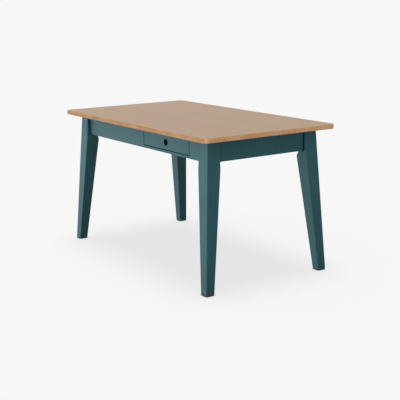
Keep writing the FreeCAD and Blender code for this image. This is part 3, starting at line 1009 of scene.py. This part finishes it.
def drive(
    name: str, body: Body, screw: WoodScrew, frames: Sequence[Matrix], zinc: bpy.types.Material
) -> None:
    """Make a set of like screws as one piece.

    Args:
        name: The piece's name.
        body: What it moves with.
        screw: The kind of screw.
        frames: Where each screw's seat is, with Z out of its head.
        zinc: The finish of the screws.
    """
    turning = Turning()
    for frame in frames:
        turning.add(screw.rings(), frame)
    turning.piece(name, body, Slot.ZINC, zinc)


@dataclass
class TableTop:
    """The oak top."""

    node: str = "table_top"
    finish: OiledOak = field(default_factory=OiledOak)

    def build(self, nodes: Nodes) -> None:
        """Dress the top."""
        dress(nodes[self.node], self.finish.material())


@dataclass
class PaintedFrame:
    """The four legs and the four aprons, painted where they show."""

    paint: SatinPaint = field(default_factory=SatinPaint)
    legs: tuple[str, ...] = ("front_left_leg", "front_right_leg", "back_left_leg", "back_right_leg")
    aprons: tuple[tuple[str, Grain, BareSide], ...] = (
        ("front_apron", Grain.ALONG_X, BareSide.BACK),
        ("back_apron", Grain.ALONG_X, BareSide.FRONT),
        ("left_apron", Grain.ALONG_Y, BareSide.RIGHT),
        ("right_apron", Grain.ALONG_Y, BareSide.LEFT),
    )
    drawer_apron: str = "front_apron"
    drawer_front: str = "drawer_front"
    seam_solid: float = 2.0 * MM
    seam_fade: float = 3.3 * MM

    def build(self, nodes: Nodes) -> None:
        """Dress the legs all round, and the aprons on all sides but the inner one.

        Args:
            nodes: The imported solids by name.
        """
        for name in self.legs:
            dress(nodes[name], self.paint.material(name, Grain.ALONG_Z, BareSide.NONE, 0.0))
        low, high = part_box(self.drawer_front)
        seam = DrawerSeam(low, high, solid=self.seam_solid, fade=self.seam_fade)
        for name, grain, bare_side in self.aprons:
            lower_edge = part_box(name)[0].z
            seams = (seam,) if name == self.drawer_apron else ()
            dress(nodes[name], self.paint.material(name, grain, bare_side, lower_edge, seams))


@dataclass
class InnerFrame:
    """The bare wood in the frame: corner blocks, and what carries, guides and stops the drawer."""

    wood: BareWood = FRAME_BEECH
    boards: tuple[tuple[str, Grain], ...] = (
        ("front_right_corner_block", Grain.RISING),
        ("back_left_corner_block", Grain.RISING),
        ("front_left_corner_block", Grain.FALLING),
        ("back_right_corner_block", Grain.FALLING),
        ("drawer_bearer_left", Grain.ALONG_Y),
        ("drawer_bearer_right", Grain.ALONG_Y),
        ("drawer_runner_left", Grain.ALONG_Y),
        ("drawer_runner_right", Grain.ALONG_Y),
        ("drawer_kicker_left", Grain.ALONG_Y),
        ("drawer_kicker_right", Grain.ALONG_Y),
        ("drawer_stop_left", Grain.ALONG_Z),
        ("drawer_stop_right", Grain.ALONG_Z),
        ("pull_stop_rail", Grain.ALONG_X),
    )
    runners: tuple[str, ...] = ("drawer_runner_left", "drawer_runner_right")
    kickers: tuple[str, ...] = ("drawer_kicker_left", "drawer_kicker_right")
    rail: str = "pull_stop_rail"
    drawer_front: str = "drawer_front"
    screw: WoodScrew = FLUSH_SCREW
    screw_pitch: float = 0.22
    rail_inset: float = 0.03
    guide_lift: float = 0.018

    def build(self, nodes: Nodes, zinc: bpy.types.Material) -> None:
        """Dress the boards and drive their screws.

        Args:
            nodes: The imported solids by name.
            zinc: The finish of the screws.
        """
        for number, (name, grain) in enumerate(self.boards):
            dress(nodes[name], self.wood.material(grain, number))
        drive("runner_screws", Body.TABLE, self.screw, self.runner_screws(nodes), zinc)
        drive("kicker_screws", Body.TABLE, self.screw, self.kicker_screws(), zinc)
        drive("pull_stop_screws", Body.TABLE, self.screw, self.rail_screws(), zinc)

    def spread(self, middle: float) -> list[float]:
        """Return three places along a board, evenly spaced about its middle."""
        return [middle + step * self.screw_pitch for step in (-1, 0, 1)]

    def runner_screws(self, nodes: Nodes) -> list[Matrix]:
        """Place the screws through the runners' guides, flush with the face beside the drawer.

        Args:
            nodes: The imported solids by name.

        Returns:
            The screws' frames.
        """
        drawer_low, drawer_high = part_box(self.drawer_front)
        drawer_middle = (drawer_low.x + drawer_high.x) / 2
        frames = []
        for name in self.runners:
            low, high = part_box(name)
            faces = sorted({round(vertex.co.x, 5) for vertex in nodes[name].data.vertices})
            guide_face = faces[1]
            inward = RIGHT * math.copysign(1, drawer_middle - guide_face)
            for y in self.spread((low.y + high.y) / 2):
                place = Vector((guide_face, y, high.z - self.guide_lift))
                frames.append(frame_at(place, inward, y))
        return frames

    def kicker_screws(self) -> list[Matrix]:
        """Place the screws up through the kickers.

        Returns:
            The screws' frames.
        """
        frames = []
        for name in self.kickers:
            low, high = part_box(name)
            for y in self.spread((low.y + high.y) / 2):
                frames.append(frame_at(Vector(((low.x + high.x) / 2, y, low.z)), DOWN, y))
        return frames

    def rail_screws(self) -> list[Matrix]:
        """Place the two screws up through the rail that stops the drawer.

        Returns:
            The screws' frames.
        """
        low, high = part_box(self.rail)
        row = (low.y + high.y) / 2
        ends = (low.x + self.rail_inset, high.x - self.rail_inset)
        return [frame_at(Vector((x, row, low.z)), DOWN, x) for x in ends]


@dataclass
class LegFixings:
    """The hanger bolts, plates and nuts that draw each leg against its corner block."""

    bolts: str = "leg_bolts"
    nuts: str = "leg_nuts"
    plates: str = "leg_plates"
    bolt_diameter: float = 8.0 * MM
    pitch: float = 1.25 * MM
    thread_depth: float = 0.65 * MM
    threaded: float = 20.0 * MM
    tip_taper: float = 1.2 * MM
    points: int = 20
    rows_a_turn: int = 6
    nut_height: float = 6.5 * MM
    nut_across_corners: float = 14.5 * MM
    nut_sides: int = 6
    nut_points: int = 48
    nut_chamfer: float = 0.9 * MM
    nut_face_share: float = 0.96

    def build(self, nodes: Nodes, zinc: bpy.types.Material) -> None:
        """Dress the plates, and make the bolts with their threads and the nuts with their chamfers.

        Args:
            nodes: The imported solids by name.
            zinc: The finish of the fixings.
        """
        dress(nodes[self.plates], zinc)
        bolts = Turning()
        for low, high in solid_boxes(nodes[self.bolts]):
            tail, outward, length = self.lie(low, high)
            bolts.add(self.bolt_rings(length), frame_at(tail, outward))
        piece = bolts.piece("threaded_leg_bolts", Body.TABLE, Slot.ZINC, zinc)
        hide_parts(self.bolts)
        nuts = Turning()
        for low, high in solid_boxes(nodes[self.nuts]):
            middle = (low + high) / 2
            outward = self.outward(middle)
            nuts.add(self.nut_rings(), frame_at(middle - outward * self.nut_height / 2, outward))
        piece = nuts.piece("chamfered_leg_nuts", Body.TABLE, Slot.ZINC, zinc)
        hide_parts(self.nuts)

    @staticmethod
    def outward(place: Vector) -> Vector:
        """Return the level direction out of the table along the diagonal of a place's corner."""
        return Vector((math.copysign(1, place.x), math.copysign(1, place.y), 0)).normalized()

    def lie(self, low: Vector, high: Vector) -> tuple[Vector, Vector, float]:
        """Find how a bolt lies in its box, along a corner's diagonal.

        Args:
            low: The box's lowest corner.
            high: The box's highest corner.

        Returns:
            The middle of its inner end, the way it points outwards, and its length.
        """
        middle = (low + high) / 2
        outward = self.outward(middle)
        length = (high.x - low.x - self.bolt_diameter * SLANT) / SLANT
        return middle - outward * length / 2, outward, length

    def thread_radius(self, height: float, angle: float) -> float:
        """Measure the bolt's radius on its thread.

        Args:
            height: The distance from the inner end.
            angle: The angle about the bolt's axis.

        Returns:
            The radius, smaller at the tapered tip and full where the thread has run out.
        """
        full = self.bolt_diameter / 2
        phase = (height / self.pitch - angle / TURN) % 1.0
        groove = self.thread_depth * (1 - abs(2 * phase - 1))
        run_out = max(0.0, min(1.0, (self.threaded - height) / (2 * self.pitch)))
        tip = self.thread_depth * max(0.0, 1 - height / self.tip_taper)
        return full - max(groove * run_out, tip)

    def bolt_rings(self, length: float) -> list[list[Vector]]:
        """List a bolt's rings from its inner end outwards.

        Args:
            length: The bolt's whole length.

        Returns:
            The rings, in metres.
        """
        rows = round(self.threaded / self.pitch * self.rows_a_turn)
        rings = []
        for row in range(rows + 1):
            height = self.threaded * row / rows
            ring = []
            for place in range(self.points):
                angle = TURN * place / self.points
                radius = self.thread_radius(height, angle)
                ring.append(Vector((radius * math.cos(angle), radius * math.sin(angle), height)))
            rings.append(ring)
        rings.append(circle(self.bolt_diameter / 2, length, self.points))
        return rings

    def nut_rings(self) -> list[list[Vector]]:
        """List a nut's rings from face to face; a cone rounds its corners off at both ends.

        Returns:
            The rings, in metres.
        """
        corner = self.nut_across_corners / 2
        side = TURN / self.nut_sides
        flat = corner * math.cos(side / 2)
        rise = self.nut_chamfer
        face = flat * self.nut_face_share
        levels = [
            (0.0, face),
            (rise / 2, (face + corner) / 2),
            (rise, corner),
            (self.nut_height - rise, corner),
            (self.nut_height - rise / 2, (face + corner) / 2),
            (self.nut_height, face),
        ]
        rings = []
        for height, cone in levels:
            ring = circle(1.0, height, self.nut_points)
            for point in ring:
                angle = math.atan2(point.y, point.x) % side - side / 2
                point.xy *= min(flat / math.cos(angle), cone)
            rings.append(ring)
        return rings


@dataclass
class TopBrackets:
    """The angle brackets that hold the top to the aprons, each with two screws."""

    node: str = "top_brackets"
    thickness: float = 2.0 * MM
    hole_from_corner: float = 15.0 * MM
    screw: WoodScrew = PAN_SCREW

    def build(self, nodes: Nodes, zinc: bpy.types.Material) -> None:
        """Dress the brackets and drive their screws.

        Args:
            nodes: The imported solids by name.
            zinc: The finish of the brackets and screws.
        """
        dress(nodes[self.node], zinc)
        frames = []
        for number, (low, high) in enumerate(solid_boxes(nodes[self.node])):
            middle = (low + high) / 2
            size = high - low
            if size.x > size.y:
                outward = RIGHT * math.copysign(1, middle.x)
            else:
                outward = BACK * math.copysign(1, middle.y)
            corner = middle + outward * (max(size.x, size.y) / 2)
            corner.z = high.z
            on_apron = corner - outward * self.thickness + DOWN * self.hole_from_corner
            on_top = corner - outward * self.hole_from_corner + DOWN * self.thickness
            frames.append(frame_at(on_apron, -outward, number))
            frames.append(frame_at(on_top, DOWN, number + 0.5))
        drive("bracket_screws", Body.TABLE, self.screw, frames, zinc)


@dataclass
class Drawer:
    """The drawer: a painted front on a bare box, with a thin bottom screwed to its back."""

    paint: SatinPaint = field(default_factory=SatinPaint)
    wood: BareWood = DRAWER_BEECH
    front: str = "drawer_front"
    sides: tuple[str, ...] = ("drawer_side_left", "drawer_side_right")
    back: str = "drawer_back"
    bottom: str = "drawer_bottom"
    hole_radius: float = 17.0 * MM
    screw: WoodScrew = PAN_SCREW
    screw_pitch: float = 0.15

    def build(self, nodes: Nodes, zinc: bpy.types.Material) -> None:
        """Dress the drawer and screw its bottom to its back.

        Args:
            nodes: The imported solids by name.
            zinc: The finish of the screws.
        """
        low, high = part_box(self.front)
        seams = (DrawerSeam(low, high), HoleSeam((low + high) / 2, self.hole_radius))
        paint = self.paint.material(self.front, Grain.ALONG_X, BareSide.BACK, low.z, seams)
        dress(nodes[self.front], paint)
        for number, name in enumerate(self.sides):
            dress(nodes[name], self.wood.material(Grain.ALONG_Y, number))
        dress(nodes[self.back], self.wood.material(Grain.ALONG_X, len(self.sides)))
        low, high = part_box(self.bottom)
        panel = Plywood(ply=(high.z - low.z) / 3, ply_base=low.z)
        dress(nodes[self.bottom], panel.material())
        self.bottom_screws(low.z, zinc)

    def bottom_screws(self, underside: float, zinc: bpy.types.Material) -> None:
        """Drive three screws up through the bottom into the back.

        Args:
            underside: The height of the bottom's lower face.
            zinc: The finish of the screws.
        """
        low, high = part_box(self.back)
        middle = (low + high) / 2
        frames = []
        for step in (-1, 0, 1):
            place = Vector((middle.x + step * self.screw_pitch, middle.y, underside))
            frames.append(frame_at(place, DOWN, step))
        drive("drawer_bottom_screws", Body.DRAWER, self.screw, frames, zinc)


@dataclass
class Feet:
    """The glides under the legs."""

    node: str = "foot_glides"
    finish: MouldedNylon = field(default_factory=MouldedNylon)

    def build(self, nodes: Nodes) -> None:
        """Dress the glides."""
        dress(nodes[self.node], self.finish.material())


@dataclass
class Studio:
    """A pale floor under soft light that comes mostly from the front left."""

    backdrop: Rgb = (247, 247, 247)
    light_level: float = 0.66
    light_slope: Vector = field(default_factory=lambda: Vector((-0.265, -0.36, 0.07)))
    overhead_strength: float = 2.4
    overhead_angle: float = 28.0
    overhead_rays: Vector = field(default_factory=lambda: Vector((0.03, -0.02, -1.0)))
    floor_drop: float = 0.2 * MM
    floor_radius: float = 12.0
    floor_points: int = 96
    floor_whiteness: float = 0.14
    card_radius: float = 1.2
    card_drop: float = 1 * MM
    card_shade: float = 0.02
    contact_width: float = 0.010
    contact_range: tuple[float, float] = (0.06, 0.40)
    contact_shade: float = 0.03
    camera_place: Vector = field(default_factory=lambda: Vector((3.8648, -2.6063, 1.3602)))
    camera_heading: float = 145.4617
    camera_dip: float = 12.8464
    camera_roll: float = -0.578
    focal_length: float = 78.117
    sensor_width: float = 36.0

    MATT = {"Roughness": 1.0, "Specular_IOR_Level": 0.0}

    def build(self) -> None:
        """Set the floor, the light and the camera."""
        bpy.context.scene.view_settings.view_transform = "Standard"
        floor = self.lay_floor()
        self.lay_card()
        self.light_all_round()
        self.light_floor(floor)
        self.aim_camera()

    def lay_floor(self) -> bpy.types.Object:
        """Lay a round floor that glows just enough to meet the backdrop, takes soft shadows, and
        has a painted contact shadow round the feet.

        Returns:
            The floor.
        """
        floor = self.lay_disc("floor", self.floor_radius, self.floor_drop)
        floor.visible_diffuse = False
        floor.visible_glossy = False
        floor.visible_shadow = False
        finish = Finish("pale_floor")
        overhead = self.overhead_strength * -self.overhead_rays.normalized().z / math.pi
        lit = self.light_level + 2 / 3 * self.light_slope.z + overhead
        glow = colour(self.backdrop)[0] - self.floor_whiteness * lit
        # Painted contact shadow: the floor's colour and glow darken towards the shade close to the
        # feet.
        painted_contact_shadow = finish.shade_in_crevices(self.contact_width).rise(*self.contact_range)
        shade = grey(self.contact_shade)
        pale = finish.mix(painted_contact_shadow, grey(self.floor_whiteness), shade)
        glowing = finish.mix(painted_contact_shadow, grey(1.0), shade)
        light = {"Emission_Color": glowing, "Emission_Strength": glow}
        dress(floor, finish.finish(Base_Color=pale, **light, **self.MATT))
        return floor

    def lay_card(self) -> None:
        """Lay a dark card under the floor, out of sight, which holds back light from below."""
        card = self.lay_disc("dark_card", self.card_radius, self.floor_drop + self.card_drop)
        card.visible_camera = False
        card.visible_glossy = False
        dress(card, Finish("dark_card").finish(Base_Color=grey(self.card_shade), **self.MATT))

    def lay_disc(self, name: str, radius: float, drop: float) -> bpy.types.Object:
        """Lay a level disc that is part of the studio.

        Args:
            name: Its name.
            radius: Its radius.
            drop: How far it lies below the feet.

        Returns:
            The disc.
        """
        data = bpy.data.meshes.new(name)
        ring = circle(radius, -drop, self.floor_points)
        data.from_pydata(ring, [], [tuple(range(self.floor_points))])
        disc = bpy.data.objects.new(name, data)
        bpy.context.scene.collection.objects.link(disc)
        return disc

    def light_floor(self, floor: bpy.types.Object) -> None:
        """Hang a wide overhead light that draws the table's shadow on the floor alone.

        Args:
            floor: The floor, which is all that it lights.
        """
        data = bpy.data.lights.new("overhead_light", "SUN")
        data.energy = self.overhead_strength
        data.angle = math.radians(self.overhead_angle)
        lamp = bpy.data.objects.new("overhead_light", data)
        lamp.rotation_euler = self.overhead_rays.to_track_quat("-Z", "Y").to_euler()
        bpy.context.scene.collection.objects.link(lamp)
        lit = bpy.data.collections.new("lit_from_overhead")
        lit.objects.link(floor)
        lamp.light_linking.receiver_collection = lit

    def light_all_round(self) -> None:
        """Surround the table with light that fades from the bright side to the other."""
        world = bpy.data.worlds.new("studio_light")
        world.use_nodes = True
        bpy.context.scene.world = world
        graph = Graph(world.node_tree)
        direction = graph.add("ShaderNodeTexCoord").outputs["Generated"]
        level = graph.dot(direction, self.light_slope) + self.light_level
        glow = graph.add("ShaderNodeBackground", None, {"Color": grey(1.0), "Strength": level})
        plain = graph.add("ShaderNodeBackground", None, {"Color": colour(self.backdrop)})
        seen = graph.add("ShaderNodeLightPath").outputs["Is Camera Ray"]
        both = {0: seen, 1: glow.outputs["Background"], 2: plain.outputs["Background"]}
        mixed = graph.add("ShaderNodeMixShader", None, both)
        graph.add("ShaderNodeOutputWorld", None, {"Surface": mixed.outputs["Shader"]})

    def aim_camera(self) -> None:
        """Set the camera where the photograph was taken from."""
        data = bpy.data.cameras.new("camera")
        data.lens = self.focal_length
        data.sensor_width = self.sensor_width
        camera = bpy.data.objects.new("camera", data)
        bpy.context.scene.collection.objects.link(camera)
        bpy.context.scene.camera = camera
        heading = math.radians(self.camera_heading)
        dip = math.radians(self.camera_dip)
        level = Vector((math.cos(heading), math.sin(heading), 0)) * math.cos(dip)
        forward = level + DOWN * math.sin(dip)
        right = forward.cross(UP).normalized()
        above = right.cross(forward)
        upright = Matrix((right, above, -forward)).transposed().to_4x4()
        roll = Matrix.Rotation(math.radians(self.camera_roll), 4, "Z")
        camera.matrix_world = Matrix.Translation(self.camera_place) @ upright @ roll


def main() -> None:
    """Load the solids, dress them in order, and set up the studio."""
    logging.basicConfig(level=logging.INFO, format="%(name)s: %(message)s")
    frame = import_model()
    nodes = frame["nodes"]
    zinc = ZincPlate().material()
    TableTop().build(nodes)
    PaintedFrame().build(nodes)
    InnerFrame().build(nodes, zinc)
    LegFixings().build(nodes, zinc)
    TopBrackets().build(nodes, zinc)
    Drawer().build(nodes, zinc)
    Feet().build(nodes)
    Studio().build()


if __name__ == "__main__":
    main()
